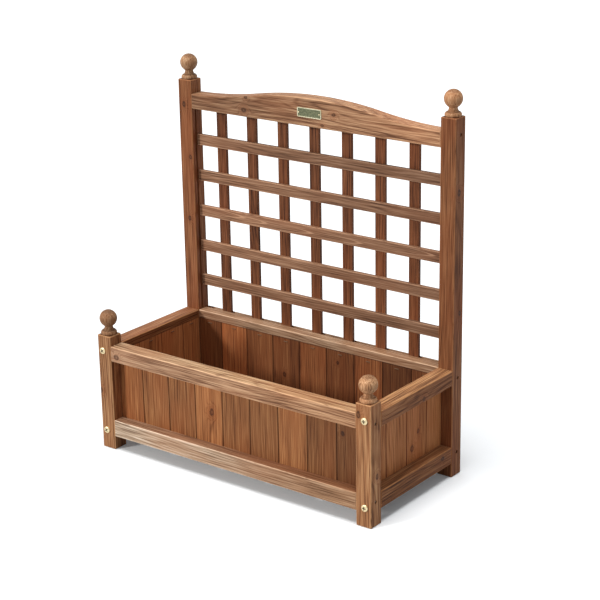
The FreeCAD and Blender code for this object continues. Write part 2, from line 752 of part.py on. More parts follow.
def box_floor():
    """Slats with drainage gaps, bradded to two cleats along the front and rear low rails."""
    brad_y = f"({INNER_Y} - cleat_side / 2)"
    brads = []
    for side_y, word in ((-1, "front"), (1, "rear")):
        low_y = f"-{INNER_Y}" if side_y < 0 else f"{INNER_Y} - cleat_side"
        corner = (f"-{INNER_X} + slat_play", low_y, f"{SLAT_LEVEL} - cleat_side")
        length = f"{OPENING_WIDTH} - 2 * slat_play"
        label = f"{word}_floor_cleat"
        body = timber(label, "x", "cleat_side", "cleat_side", length, corner, "board_ease")
        tools = []
        for index in range(SLAT_COUNT):
            for end in (-1, 1):
                x = f"{slat_left(index)} + {SLAT_WIDTH} / 2 + {end} * ({SLAT_WIDTH} / 2 - brad_inset)"
                start = (x, mirrored(side_y, brad_y), SLAT_TOP)
                crown = (x, start[1], f"{SLAT_TOP} + brad_head_height")
                tools.append(floor_bore(f"{label}_bore_{index}_{end + 1}", "-z", start))
                brads.append(brad(f"{word}_floor_brad_{index}_{end + 1}", "-z", start, crown))
        piece(worked(label, body, tools), label)
    slats = []
    for index in range(SLAT_COUNT):
        name = f"floor_slat_{index + 1}"
        corner = (slat_left(index), f"-{INNER_Y} + slat_play", SLAT_LEVEL)
        length = f"{OPENING_DEPTH} - 2 * slat_play"
        body = timber(name, "y", "slat_thickness", SLAT_WIDTH, length, corner, "board_ease")
        tools = []
        for side_y in (-1, 1):
            for end in (-1, 1):
                x = f"{slat_left(index)} + {SLAT_WIDTH} / 2 + {end} * ({SLAT_WIDTH} / 2 - brad_inset)"
                start = (x, mirrored(side_y, brad_y), SLAT_TOP)
                tools.append(floor_bore(f"{name}_bore_{side_y + 1}_{end + 1}", "-z", start))
        slats.append(worked(name, body, tools))
    piece(group("floor_slats_group", slats), "floor_slats")
    piece(group("floor_brads_group", brads), "floor_brads")


# ---- the whole planter ---------------------------------------------------------------------------


def build():
    make_sheet()
    for name, (side_x, side_y, height) in POSTS.items():
        post(name, side_x, side_y, height)
        cap(name, side_x, side_y, height)
    for tier in RAIL_LEVELS:
        for side in (-1, 1):
            cross_rail(side, tier)
            side_rail(side, tier)
    arched_rail()
    name_plate()
    walls()
    lattice()
    box_floor()
    pans = []
    sunks = []
    for name, (side_x, side_y, _) in POSTS.items():
        for key in ("upper", "lower"):
            pans.append(pan_screw(f"{name}_pan_{key}_screw", side_x, side_y, PAN_LEVELS[key]))
            sunks.append(sunk_screw(f"{name}_sunk_{key}_screw", side_x, side_y, SUNK_LEVELS[key]))
        if side_y > 0:
            sunks.append(sunk_screw(f"{name}_sunk_arch_screw", side_x, side_y, ARCH_SCREW_LEVEL))
    piece(group("pan_screws_group", pans), "pan_head_screws")
    piece(group("sunk_screws_group", sunks), "sunk_screws")
    doc.recompute()


def check():
    """Stop if any object failed, or any finished piece has no sound shape."""
    for item in doc.Objects:
        if "Invalid" in item.State or "Error" in item.State:
            raise RuntimeError(f"{item.Name} failed: {item.State}")
    for item in pieces:
        if item.Shape.isNull() or not item.Shape.isValid() or not item.Shape.Solids:
            raise RuntimeError(f"{item.Label} has no valid solid")


def export():
    for item in pieces:
        item.Shape.exportStep(os.path.join("parts", f"{item.Label}.step"))
        solids = item.Shape.Solids
        print(f"{item.Label}: {len(solids)} solid(s), {sum(solid.Volume for solid in solids):.0f} mm3")


build()
check()
export()
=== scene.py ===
import math
import random

import bpy
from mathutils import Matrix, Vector


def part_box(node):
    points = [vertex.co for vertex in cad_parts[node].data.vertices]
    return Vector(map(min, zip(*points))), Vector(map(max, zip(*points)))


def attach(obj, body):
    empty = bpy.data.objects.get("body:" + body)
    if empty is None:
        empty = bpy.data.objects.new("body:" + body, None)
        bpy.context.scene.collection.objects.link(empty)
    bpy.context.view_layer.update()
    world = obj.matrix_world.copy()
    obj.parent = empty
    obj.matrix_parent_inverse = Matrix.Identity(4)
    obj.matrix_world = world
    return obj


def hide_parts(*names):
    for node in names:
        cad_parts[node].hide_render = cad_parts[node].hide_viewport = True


# Planter box with a lattice back. Metres, in the part's own frame: X to the right, Y to the rear,
# Z up, the origin on the ground below the middle of the box.
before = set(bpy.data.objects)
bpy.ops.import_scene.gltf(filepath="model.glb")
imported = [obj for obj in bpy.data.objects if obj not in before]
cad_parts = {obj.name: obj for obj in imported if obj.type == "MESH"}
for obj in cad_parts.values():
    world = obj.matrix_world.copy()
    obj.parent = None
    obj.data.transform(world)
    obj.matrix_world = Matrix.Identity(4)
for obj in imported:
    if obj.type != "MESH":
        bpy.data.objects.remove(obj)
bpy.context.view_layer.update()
bpy.ops.object.select_all(action="DESELECT")

# ---- Posts ----
# Four square posts of planed softwood, stained reddish brown. They stand on their sawn ends and
# carry all the rails, which butt against their faces and are screwed to them.

MM = 0.001


class Wire:
    """A socket of a shader tree. Arithmetic on it adds the Math nodes."""

    def __init__(self, tree, socket=None):
        self.tree = tree
        self.socket = socket

    def node(self, kind, settings=None, values=None, output=0):
        """Add a node of that type: its settings first, then numbers or wires into its sockets."""
        made = self.tree.nodes.new(kind)
        for name, value in (settings or {}).items():
            setattr(made, name, value)
        for key, value in (values or {}).items():
            if isinstance(value, Wire):
                self.tree.links.new(value.socket, made.inputs[key])
            else:
                made.inputs[key].default_value = value
        return Wire(self.tree, made.outputs[output] if made.outputs else None)

    def beside(self, output):
        """Another output of the same node."""
        return Wire(self.tree, self.socket.node.outputs[output])

    def math(self, operation, *others):
        values = dict(enumerate([self, *others]))
        return self.node("ShaderNodeMath", {"operation": operation}, values)

    def __add__(self, other):
        return self.math("ADD", other)

    def __radd__(self, other):
        return self.math("ADD", other)

    def __sub__(self, other):
        return self.math("SUBTRACT", other)

    def __rsub__(self, other):
        return self.math("MULTIPLY_ADD", -1.0, other)

    def __mul__(self, other):
        return self.math("MULTIPLY", other)

    def __rmul__(self, other):
        return self.math("MULTIPLY", other)

    def __truediv__(self, other):
        return self.math("DIVIDE", other)

    def __abs__(self):
        return self.math("ABSOLUTE")

    def rise(self, low, high):
        """0 below low, 1 above high, and a soft step between them."""
        settings = {"interpolation_type": "SMOOTHSTEP"}
        return self.node("ShaderNodeMapRange", settings, {0: self, 1: low, 2: high})

    def tint(self, first, second):
        """The first colour where this wire is 0 and the second where it is 1."""
        settings = {"data_type": "RGBA"}
        return self.node("ShaderNodeMix", settings, {0: self, 6: first, 7: second}, 2)

    def filtered(self, colour):
        """This colour multiplied by another."""
        values = {0: self, 1: colour}
        return self.node("ShaderNodeVectorMath", {"operation": "MULTIPLY"}, values)

    def split(self):
        """The three components of a vector."""
        x = self.node("ShaderNodeSeparateXYZ", values={0: self})
        return [x, x.beside(1), x.beside(2)]

    def noise(self, where, stretch, detail, offset):
        """Cloudy noise on a position in millimetres, stretched by its three factors."""
        shift = (offset * 7.13, offset * 3.71, offset * 5.37)
        values = {0: where, 1: stretch, 2: shift}
        place = self.node("ShaderNodeVectorMath", {"operation": "MULTIPLY_ADD"}, values)
        values = {"Vector": place, "Scale": 1.0, "Detail": detail}
        return self.node("ShaderNodeTexNoise", {}, values)

    def place(self):
        """The position on the object, in millimetres."""
        coordinates = self.node("ShaderNodeTexCoord", output="Object")
        values = {0: coordinates, "Scale": 1 / MM}
        return self.node("ShaderNodeVectorMath", {"operation": "SCALE"}, values)

    def close(self, values):
        """End the tree with a principled surface of those values."""
        surface = self.node("ShaderNodeBsdfPrincipled", values=values)
        self.node("ShaderNodeOutputMaterial", values={0: surface})


def blank_material(name):
    """An empty material and a wire to build its tree from."""
    material = bpy.data.materials.new(name)
    material.use_nodes = True
    material.node_tree.nodes.clear()
    return material, Wire(material.node_tree)


def opaque(colour):
    return (*colour, 1.0)


def shaded(colour, factor):
    return tuple(channel * factor for channel in colour)


def toned(stain, factor):
    """A stain's colours, all lighter or darker alike."""
    return [shaded(colour, factor) for colour in stain]


# each noise of the wood: its waves per millimetre across and along the fibres, its detail, and
# its offset from the other noises
WOOD_NOISE = {
    "wander": (0.011, 0.0024, 1.0, 0),
    "ripple": (0.05, 0.011, 1.0, 21),
    "burr": (0.2, 0.2, 2.0, 27),
    "broad": (0.13, 0.0024, 1.0, 3),
    "fine": (0.34, 0.0085, 2.0, 6),
    "pores": (0.8, 0.02, 2.0, 9),
    "cloud": (0.03, 0.006, 2.0, 12),
    "arris_wear_and_highlight": (0.5, 0.06, 2.0, 15),
    "blush": (0.02, 0.006, 1.0, 18),
}


def knot_marks(position, grain, knots, burr):
    """What the knots do: their push on the rings, their dark spots, and a reddish halo."""
    push = 0.0
    spots = 0.0
    halos = 0.0
    for knot in knots:
        size = knot[3]
        offsets = [position[axis] - knot[axis] for axis in range(3)]
        offsets[grain] = offsets[grain] * 0.8
        squares = [offset * offset for offset in offsets]
        square_sum = squares[0] + squares[1] + squares[2]
        distance = square_sum.math("SQRT") + burr * size
        halo = 1 - distance.rise(0.0, size * 4.2)
        core = 1 - distance.rise(size * 0.6, size * 1.4)
        rim = 1 - abs(distance / size - 0.8).rise(0.04, 0.5)
        tail = 1 - (square_sum - squares[grain] * 0.9).math("SQRT").rise(0.0, size * 1.5)
        push = push + halo * halo
        spots = spots + core * 0.35 + rim * 0.42 + tail * 0.34
        halos = halos + halo * 0.42
    return push, spots, halos


def stained_wood(
    name, grain, box, stain, seed, knots=(), ring=3.6, figure=9.0, rows=None, worn=0.7,
    streaks=1.0, painted_top_shading=(1, 1, 1), ends=((1, 1, 1), (1, 1, 1)), flames=(),
):
    """Stained softwood, figured in the round so that faces, edges and ends of a piece agree.

    grain is 0, 1 or 2 for fibres along X, Y or Z. box holds the piece's two corners in metres.
    stain holds its dark, middle and pale colours. knots are (x, y, z, radius) in millimetres.
    ring is the width of a growth ring and figure how far the rings wander, in millimetres.
    rows, for a row of boards in one node, is (axis, first seam, pitch) in millimetres.
    worn paints the arrises paler, a painted highlight with some wear in it, and
    where it is negative darker, a painted shade between boards. streaks is the strength of the
    fibres. painted_top_shading multiplies the colour of the faces that look up, a painted light on
    some tops and a painted shade on others, and ends that of the two ends of the piece, blending
    between them. flames are pale pointed rings on a flat-sawn face, each with its tip along the
    grain and its middle across it, in millimetres.
    """
    chance = random.Random(seed)
    material, start = blank_material(name)
    low, high = (Vector(corner) / MM for corner in box)
    middle = (low + high) / 2
    half = (high - low) / 2
    across = [axis for axis in range(3) if axis != grain]
    dark, medium, pale = stain
    place = start.place()
    position = place.split()
    stick = chance.uniform(0.0, 50.0)

    def noise(kind):
        over, along, detail, offset = WOOD_NOISE[kind]
        stretch = tuple(along if axis == grain else over for axis in range(3))
        return start.noise(place, stretch, detail, stick + offset)

    # every board of a row is cut from its own stick; within about two millimetres of its seams
    # it is darkened, a painted shade between the boards
    tone = 0.0
    pith_shift = 0.0
    if rows:
        axis, first, pitch = rows
        boards = (position[axis] - first) / pitch
        values = {"W": boards.math("FLOOR") + stick}
        luck = start.node("ShaderNodeTexWhiteNoise", {"noise_dimensions": "1D"}, values)
        pith_shift = luck * 160.0
        from_seam = (0.5 - abs(boards.math("FRACT") - 0.5)) * pitch
        tone = (luck - 0.5) * 0.3 - (1 - from_seam.rise(0.2, 2.2)) * 0.5

    # growth rings round a pith that lies off the piece, wandering along it and round the knots
    pith = {
        axis: middle[axis] + chance.choice((-1, 1)) * chance.uniform(14, 55) for axis in across
    }
    first_side = position[across[0]] - pith[across[0]] + pith_shift
    second_side = position[across[1]] - pith[across[1]]
    radius = (first_side * first_side + second_side * second_side).math("SQRT")
    radius = radius + (noise("wander") - 0.5) * (figure * 5)
    radius = radius + (noise("ripple") - 0.5) * (figure * 0.55)
    halos = 0.0
    if knots:
        push, spots, halos = knot_marks(position, grain, knots, noise("burr") - 0.5)
        radius = radius + push * (ring * 5)
    wave = (radius * (2 * math.pi / ring)).math("SINE")
    late_wood = (wave * 0.5 + 0.5).math("POWER", 3.2)

    # fibres and the uneven uptake of the stain, summed to a value from 0, dark, to about 1, pale
    pores = noise("pores") - 0.5
    fibres = (noise("broad") - 0.5) * 0.5 + (noise("fine") - 0.5) * 1.65 + pores * 1.7
    fibres = fibres - late_wood * 0.32
    cloud = noise("cloud") - 0.5
    value = 0.57 + 0.05 * streaks + fibres * streaks + cloud * 0.6 + tone
    colour = value.rise(0.02, 0.58).tint(opaque(dark), opaque(medium))
    colour = value.rise(0.5, 1.06).tint(colour, opaque(pale))
    blush = noise("blush").rise(0.42, 0.72) * 0.34
    warm = (medium[0] * 1.12, medium[1] * 0.82, medium[2] * 0.66)
    colour = blush.math("MAXIMUM", halos).tint(colour, opaque(warm))
    if knots:
        colour = spots.tint(colour, opaque(shaded(dark, 0.8)))

    # arrises painted paler, a painted highlight with some wear in it; where the factor is
    # negative they are painted darker instead, a painted shade between boards
    inset = [half[axis] - abs(position[axis] - middle[axis]) for axis in range(3)]
    nearest = inset[0].math("MINIMUM", inset[1])
    farther = inset[0].math("MAXIMUM", inset[1])
    edge = nearest.math("MAXIMUM", farther.math("MINIMUM", inset[2]))
    near_edge = 1 - edge.rise(0.5, 2.3)
    if worn > 0:
        near_edge = near_edge * noise("arris_wear_and_highlight").rise(0.28, 0.52)
        edge_colour = shaded(pale, 1.38)
    else:
        edge_colour = shaded(dark, 0.6)
    colour = (near_edge * abs(worn)).tint(colour, opaque(edge_colour))

    # pointed rings, the drift of colour along the piece, the painted light and shade of its top
    # faces, and its sawn ends
    for tip, level in flames:
        reach = tip - position[grain]
        aside = position[across[1]] - level
        outline = 1 - abs(reach - aside * aside * 1.8).rise(2.0, 11.0)
        flame = outline * (1 - reach.rise(35.0, 90.0))
        colour = (flame * 0.7).tint(colour, opaque(shaded(pale, 1.3)))
    drift = position[grain].rise(low[grain], high[grain]).tint(opaque(ends[0]), opaque(ends[1]))
    colour = colour.filtered(drift)
    facing = start.node("ShaderNodeTexCoord", output="Normal").split()
    # tops multiplied lighter on some pieces, darker on others: painted light and shade
    colour = facing[2].rise(0.6, 0.9).tint(colour, colour.filtered(painted_top_shading))
    end_grain = abs(facing[grain]).rise(0.6, 0.9) * 0.5
    colour = end_grain.tint(colour, opaque(shaded(dark, 0.9)))

    values = {"Strength": 0.4, "Distance": 0.0006, "Height": value * 0.7 + pores * 0.5}
    values = {
        "Base Color": colour,
        "Roughness": 0.72 - value * 0.16,
        "Specular IOR Level": 0.2,
        "Normal": start.node("ShaderNodeBump", values=values),
    }
    start.close(values)
    return material


def finish_node(node, material):
    """Give a CAD node its real material."""
    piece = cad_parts[node]
    for slot in piece.material_slots:
        slot.material = material


def finish_wood(node, grain, stain, seed, **options):
    """Give a CAD node its own stained wood, with the options of stained_wood."""
    wood = stained_wood(f"{node}_wood", grain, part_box(node), stain, seed, **options)
    finish_node(node, wood)


FRONT_POST_STAIN = ((0.105, 0.038, 0.014), (0.37, 0.164, 0.069), (0.6, 0.33, 0.16))
REAR_POST_STAIN = ((0.07, 0.022, 0.008), (0.232, 0.082, 0.03), (0.38, 0.165, 0.07))
FRONT_LEFT_KNOTS = [(-316, -146, 118, 4.5)]
FRONT_RIGHT_KNOTS = [(291, -146, 211, 5.0), (317, -128, 94, 4.0)]
REAR_LEFT_KNOTS = [(-304, 116, 632, 4.5), (-292, 116, 528, 3.5), (-300, 116, 402, 4.0)]
REAR_RIGHT_KNOTS = [(317, 128, 545, 5.0), (316, 136, 318, 4.0)]
# each post: its stain and its knots
POSTS = {
    "front_left": (toned(FRONT_POST_STAIN, 0.86), FRONT_LEFT_KNOTS),
    "front_right": (toned(FRONT_POST_STAIN, 1.01), FRONT_RIGHT_KNOTS),
    "rear_left": (toned(REAR_POST_STAIN, 1.04), REAR_LEFT_KNOTS),
    "rear_right": (toned(REAR_POST_STAIN, 0.93), REAR_RIGHT_KNOTS),
}
for number, (place_name, (stain, knots)) in enumerate(POSTS.items()):
    finish_wood(f"{place_name}_post", 2, stain, 41 + number, knots=knots, streaks=0.85)

# ---- Ball caps ----
# One turned cap on each post: a ball on a waisted neck and a rounded collar, lathe-turned from
# paler wood with the grain upright. Its dowel is glued into the top of the post.

CAP_STAIN = ((0.12, 0.05, 0.022), (0.46, 0.24, 0.12), (0.78, 0.52, 0.31))
CAP_TONES = {"front_left": 0.6, "front_right": 1.12, "rear_left": 0.78, "rear_right": 1.0}
DOWEL_RADIUS = 5.0
DOWEL_LENGTH = 20.0
# radius and height of each turn of the profile, in millimetres from the top of the post
COLLAR = [
    (5.0, 0.0), (13.2, 0.05), (14.7, 0.7), (15.4, 2.2), (15.4, 4.4), (14.6, 6.3), (13.2, 7.6),
]
WAIST = [
    (12.9, 8.0), (11.0, 8.8), (9.5, 10.3), (8.5, 12.2), (8.0, 14.2), (8.0, 15.6), (8.5, 16.6),
]
BALL_RADIUS = 16.9
BALL_LEVEL = 31.5
BALL_STEPS = 18
# where the ball's profile starts and ends, in degrees from its lowest point
BALL_START = 30
BALL_STOP = 178


def outermost(mesh, axis, sign):
    """Select, in edit mode, only the face of the mesh that lies farthest that way."""
    bpy.ops.mesh.select_all(action="DESELECT")
    bpy.ops.object.mode_set(mode="OBJECT")
    face = max(mesh.polygons, key=lambda polygon: sign * polygon.center[axis])
    face.select = True
    bpy.ops.object.mode_set(mode="EDIT")
    bpy.ops.mesh.select_mode(type="FACE")


def turn_up(radius, level, steps):
    """Draw the selected round face upwards through (radius, height) steps in millimetres."""
    for next_radius, next_level in steps:
        rise = (0, 0, (next_level - level) * MM)
        bpy.ops.mesh.extrude_region_move(TRANSFORM_OT_translate={"value": rise})
        share = next_radius / radius
        centre = (0, 0, next_level * MM)
        bpy.ops.transform.resize(value=(share, share, 1), center_override=centre)
        radius, level = next_radius, next_level


def pick(piece):
    """Select one piece alone and make it the active one."""
    bpy.ops.object.select_all(action="DESELECT")
    piece.select_set(True)
    bpy.context.view_layer.objects.active = piece


def copy_of(piece):
    """A copy with its own mesh."""
    pick(piece)
    bpy.ops.object.duplicate()
    return bpy.context.object


def settle(piece, move=(0, 0, 0)):
    """Carry the piece's place into its mesh, so that its object stays at the origin."""
    piece.location = piece.location + Vector(move)
    pick(piece)
    bpy.ops.object.transform_apply(location=True, rotation=True, scale=True)


def round_bar(radius, length, vertices):
    """An upright bar in millimetres, its top at the origin, in edit mode with the top selected."""
    bpy.ops.mesh.primitive_cylinder_add(
        vertices=vertices, radius=radius * MM, depth=length * MM, location=(0, 0, -length / 2 * MM)
    )
    bar = bpy.context.object
    settle(bar)
    bpy.ops.object.mode_set(mode="EDIT")
    outermost(bar.data, 2, 1)
    return bar


ball = []
for step in range(1, BALL_STEPS + 1):
    angle = math.radians(BALL_START + step * (BALL_STOP - BALL_START) / BALL_STEPS)
    height = BALL_LEVEL - BALL_RADIUS * math.cos(angle)
    ball.append((BALL_RADIUS * math.sin(angle), height))
cap = round_bar(DOWEL_RADIUS, DOWEL_LENGTH, 56)
turn_up(DOWEL_RADIUS, 0.0, COLLAR + WAIST + ball)
bpy.ops.object.mode_set(mode="OBJECT")
bpy.ops.object.shade_smooth_by_angle(angle=math.radians(50))
for number, (place_name, tone) in enumerate(CAP_TONES.items()):
    turned_cap = copy_of(cap)
    turned_cap.name = f"{place_name}_ball_cap"
    post_low, post_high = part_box(f"{place_name}_post")
    stand = ((post_low.x + post_high.x) / 2, (post_low.y + post_high.y) / 2, post_high.z)
    settle(turned_cap, stand)
    cap_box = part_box(f"{place_name}_cap")
    wood = stained_wood(
        f"{place_name}_cap_wood", 2, cap_box, toned(CAP_STAIN, tone), 61 + number,
        ring=3.0, worn=0.0, streaks=0.7,
    )
    turned_cap.data.materials.append(wood)
    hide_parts(f"{place_name}_cap")
    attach(turned_cap, "root")
bpy.data.objects.remove(cap)

# ---- Rails ----
# Square-edged rails of the posts' softwood close the box at the top and near the foot. They are
# planed on top, rougher and greyer on the front of the low rail, and screwed through the posts.

TOP_RAIL_STAIN = ((0.14, 0.06, 0.03), (0.385, 0.2, 0.107), (0.62, 0.38, 0.225))
SIDE_TOP_STAIN = ((0.08, 0.026, 0.009), (0.247, 0.094, 0.035), (0.39, 0.175, 0.07))
LOW_RAIL_STAIN = ((0.15, 0.08, 0.043), (0.42, 0.262, 0.157), (0.66, 0.48, 0.33))
SIDE_LOW_STAIN = ((0.052, 0.016, 0.005), (0.19, 0.067, 0.019), (0.32, 0.135, 0.046))
# rails by node, in the words of stained_wood; their factors for the faces that look up are
# painted light and shade on the tops
RAILS = {
    "front_top_rail": dict(
        grain=0, stain=TOP_RAIL_STAIN, figure=12.0, knots=[(-271, -146, 194, 5.0)],
        painted_top_shading=(0.93, 0.99, 0.94), ends=((1.04, 1.1, 1.18), (1.04, 1.01, 0.97)),
    ),
    "rear_top_rail": dict(
        grain=0, stain=LOW_RAIL_STAIN, figure=8.0,
        painted_top_shading=(0.95, 0.9, 0.84), ends=((0.86, 0.82, 0.82), (0.82, 0.78, 0.76)),
    ),
    "left_top_rail": dict(
        grain=1, stain=SIDE_TOP_STAIN, figure=8.0, painted_top_shading=(1.07, 1.17, 1.37),
    ),
    "right_top_rail": dict(
        grain=1, stain=SIDE_TOP_STAIN, figure=9.0, knots=[(317, 20, 190, 4.0)],
        painted_top_shading=(1.5, 1.85, 2.1),
    ),
    "front_low_rail": dict(
        grain=0, stain=LOW_RAIL_STAIN, figure=6.0,
        painted_top_shading=(0.6, 0.44, 0.35), ends=((1.26, 1.46, 1.7), (0.82, 0.71, 0.63)),
    ),
    "rear_low_rail": dict(
        grain=0, stain=TOP_RAIL_STAIN, figure=8.0, painted_top_shading=(0.7, 0.6, 0.5),
    ),
    "left_low_rail": dict(
        grain=1, stain=SIDE_LOW_STAIN, figure=8.0, painted_top_shading=(0.88, 1.0, 1.3),
    ),
    "right_low_rail": dict(
        grain=1, stain=SIDE_LOW_STAIN, figure=10.0, knots=[(317, 84, 50, 4.0)],
        painted_top_shading=(0.88, 1.0, 1.3),
    ),
}
for number, (node, rail) in enumerate(RAILS.items()):
    finish_wood(node, seed=71 + number, **rail)

# ---- Arched rail ----
# The head of the lattice, sawn to a shallow ogee from one wide plank and let in between the tall
# posts. A screw from the outer side of each post holds its end.

ARCH_STAIN = ((0.12, 0.05, 0.024), (0.365, 0.18, 0.093), (0.6, 0.355, 0.2))
ARCH_ENDS = ((0.66, 0.66, 0.66), (1.2, 1.22, 1.24))
ARCH_KNOTS = [
    (-150, 116, 664, 3.0), (-155, 116, 639, 4.5), (55, 116, 655, 3.5), (29, 116, 632, 3.0),
]
finish_wood("arched_rail", 0, ARCH_STAIN, 83, knots=ARCH_KNOTS, figure=11.0, ends=ARCH_ENDS)

# ---- Name plate ----
# A small brass plate with clipped corners and a raised rim, pinned to the middle of the arched
# rail. Its field is left bare and has aged to a dark olive.

PLATE_CORNER = 2.5
RIM_SLOPE = 0.35
RIM_WIDTH = 1.1
RIM_HEIGHT = 0.45

plate_low, plate_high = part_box("name_plate")
plate_size = plate_high - plate_low
bpy.ops.mesh.primitive_cube_add(size=1, location=(plate_low + plate_high) / 2)
plate = bpy.context.object
plate.name = "bare_name_plate"
plate.scale = plate_size
settle(plate)
bpy.ops.object.mode_set(mode="EDIT")
bpy.ops.mesh.select_all(action="DESELECT")
bpy.ops.mesh.select_mode(type="EDGE")
bpy.ops.object.mode_set(mode="OBJECT")
for edge in plate.data.edges:
    first_end, second_end = (plate.data.vertices[index].co for index in edge.vertices)
    edge.select = abs((first_end - second_end).normalized().y) > 0.9
bpy.ops.object.mode_set(mode="EDIT")
bpy.ops.mesh.bevel(offset=PLATE_CORNER * MM, segments=3)
outermost(plate.data, 1, -1)
bpy.ops.mesh.inset(thickness=RIM_SLOPE * MM, depth=0.0)
bpy.ops.mesh.inset(thickness=RIM_WIDTH * MM, depth=0.0)
bpy.ops.mesh.inset(thickness=RIM_SLOPE * MM, depth=-RIM_HEIGHT * MM)
bpy.ops.object.mode_set(mode="OBJECT")

material, start = blank_material("aged_brass")
place = start.place()
x, _, z = place.split()
plate_middle = (plate_low + plate_high) / 2 / MM
plate_half = plate_size / 2 / MM
from_end = plate_half.x - abs(x - plate_middle.x)
from_edge = plate_half.z - abs(z - plate_middle.z)
field = from_end.math("MINIMUM", from_edge).rise(1.5, 1.9)
tarnish = start.noise(place, (0.35, 0.35, 0.35), 3.0, 4.0)
rim = tarnish.rise(0.35, 0.7).tint(opaque((0.5, 0.46, 0.3)), opaque((0.68, 0.66, 0.5)))
ground = tarnish.rise(0.3, 0.7).tint(opaque((0.085, 0.095, 0.055)), opaque((0.17, 0.175, 0.1)))
roughness = 0.34 + tarnish * 0.2 + field * 0.08
start.close({"Base Color": field.tint(rim, ground), "Metallic": 0.8, "Roughness": roughness})
plate.data.materials.append(material)
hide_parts("name_plate")
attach(plate, "root")

# ---- Wall boards ----
# Thin upright boards stand in rebates on the inner side of the rails, butted edge to edge and
# stapled. Each comes from its own stick, so redder, browner and paler ones stand side by side.

FRONT_STAIN = ((0.085, 0.026, 0.0085), (0.272, 0.105, 0.037), (0.46, 0.215, 0.085))
REAR_STAIN = ((0.068, 0.018, 0.006), (0.215, 0.072, 0.024), (0.33, 0.135, 0.052))
# each long wall: its stain, its first seed, and the tones of its boards from the left
LONG_WALLS = {
    "front": (FRONT_STAIN, 500, [1.3, 1.12, 1.03, 1.44, 0.98, 0.92, 1.2, 0.77, 0.6]),
    "rear": (REAR_STAIN, 400, [0.8, 1.7, 1.0, 0.84, 1.12, 0.78, 1.2, 0.55, 0.8]),
}
BOARD_KNOTS = {
    "front_board_4": [(-58, -122, 124, 5.5)],
    "front_board_9": [(241, -122, 154, 4.0)],
    "rear_board_6": [(59, 116, 172, 3.0)],
    "rear_board_4": [(-70, 116, 120, 4.0)],
}
for wall, (stain, seed, tones) in LONG_WALLS.items():
    for number, tone in enumerate(tones, start=1):
        node = f"{wall}_board_{number}"
        # a negative edge factor darkens each board's edges: painted shade between the boards
        finish_wood(
            node, 2, toned(stain, tone), seed + 7 * number,
            knots=BOARD_KNOTS.get(node, []), worn=-0.6, streaks=0.66,
        )
SIDE_STAIN = ((0.15, 0.045, 0.014), (0.465, 0.173, 0.06), (0.69, 0.31, 0.127))
SIDE_KNOTS = {"left": [(-292, -20, 120, 4.0)], "right": [(292, 18, 88, 5.5), (292, 38, 116, 4.0)]}
BOARD_PITCH = 65.0
side_rows = (1, -2 * BOARD_PITCH, BOARD_PITCH)
for number, (wall, knots) in enumerate(SIDE_KNOTS.items()):
    # edges and seams of the boards darkened: painted shade between the boards
    finish_wood(
        f"{wall}_boards", 2, SIDE_STAIN, 131 + number,
        knots=knots, rows=side_rows, worn=-0.5, streaks=0.62,
    )

# ---- Lattice ----
# Flat laths: five level ones in front, greyer and planed, and seven darker upright ones behind
# them with their ends in grooves of the rails. A brad from the back holds every crossing.

CROSS_STAIN = ((0.085, 0.037, 0.02), (0.26, 0.127, 0.068), (0.44, 0.25, 0.15))
CROSS_TONES = [0.95, 1.02, 1.1, 1.0, 0.94]
CROSS_ENDS = ((1.1, 1.12, 1.14), (0.79, 0.79, 0.8))
FLAMES = {
    2: [(90, 493)],
    3: [(-176, 420.5), (-121, 418), (-12, 416), (102, 415.5), (262, 420)],
    5: [(-60, 277)],
}
UPRIGHT_STAIN = ((0.05, 0.014, 0.005), (0.178, 0.058, 0.02), (0.3, 0.11, 0.045))
UPRIGHT_TONES = [0.9, 0.9, 0.95, 0.85, 1.0, 1.15, 1.05]
for number, tone in enumerate(CROSS_TONES, start=1):
    finish_wood(
        f"cross_lath_{number}", 0, toned(CROSS_STAIN, tone), 141 + number,
        ring=3.0, figure=7.0, streaks=0.75, ends=CROSS_ENDS, flames=FLAMES.get(number, []),
    )
for number, tone in enumerate(UPRIGHT_TONES, start=1):
    stain = toned(UPRIGHT_STAIN, tone)
    # the uprights' arrises a little paler: a painted highlight with some wear in it
    finish_wood(f"upright_lath_{number}", 2, stain, 151 + number, ring=3.0, worn=0.3)

# ---- Floor of the box ----
# Sawn slats with drainage gaps lie across two cleats, and are bradded to them. They are the same
# softwood, less carefully finished because a liner or pots cover them.

FLOOR_STAIN = ((0.065, 0.026, 0.012), (0.18, 0.083, 0.04), (0.28, 0.15, 0.08))
SLAT_COUNT = 5
SLAT_GAP = 8.0
floor_low, floor_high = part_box("floor_slats")
slat_pitch = ((floor_high.x - floor_low.x) / MM + SLAT_GAP) / SLAT_COUNT
slat_rows = (0, floor_low.x / MM - SLAT_GAP / 2, slat_pitch)
# the slats darkened at their seams: painted shade in the gaps between them
finish_wood("floor_slats", 1, FLOOR_STAIN, 171, ring=4.0, rows=slat_rows, worn=0.0)
finish_wood("front_floor_cleat", 0, FLOOR_STAIN, 181)
finish_wood("rear_floor_cleat", 0, FLOOR_STAIN, 182)

# ---- Pan-head screws ----
# Eight brass-plated screws with domed heads and a cross recess, two in each post, driven from the
# front and the back into the ends of the side rails.

SHANK_RADIUS = 3.0
SHANK_LENGTH = 65.0
# radius and height of each turn of the head, in millimetres from the post's face
HEAD = [(6.7, 0.02), (6.75, 1.5), (6.3, 2.3), (5.2, 2.85), (3.6, 3.1), (2.0, 3.18)]
RECESS_SPAN = 7.6
RECESS_WIDTH = 1.9
RECESS_DEPTH = 1.9
CUTTER_TOP = 3.4
SCREW_X = 304.5
SCREW_LEVELS = (201.4, 37.7)
POST_FACE_Y = 147


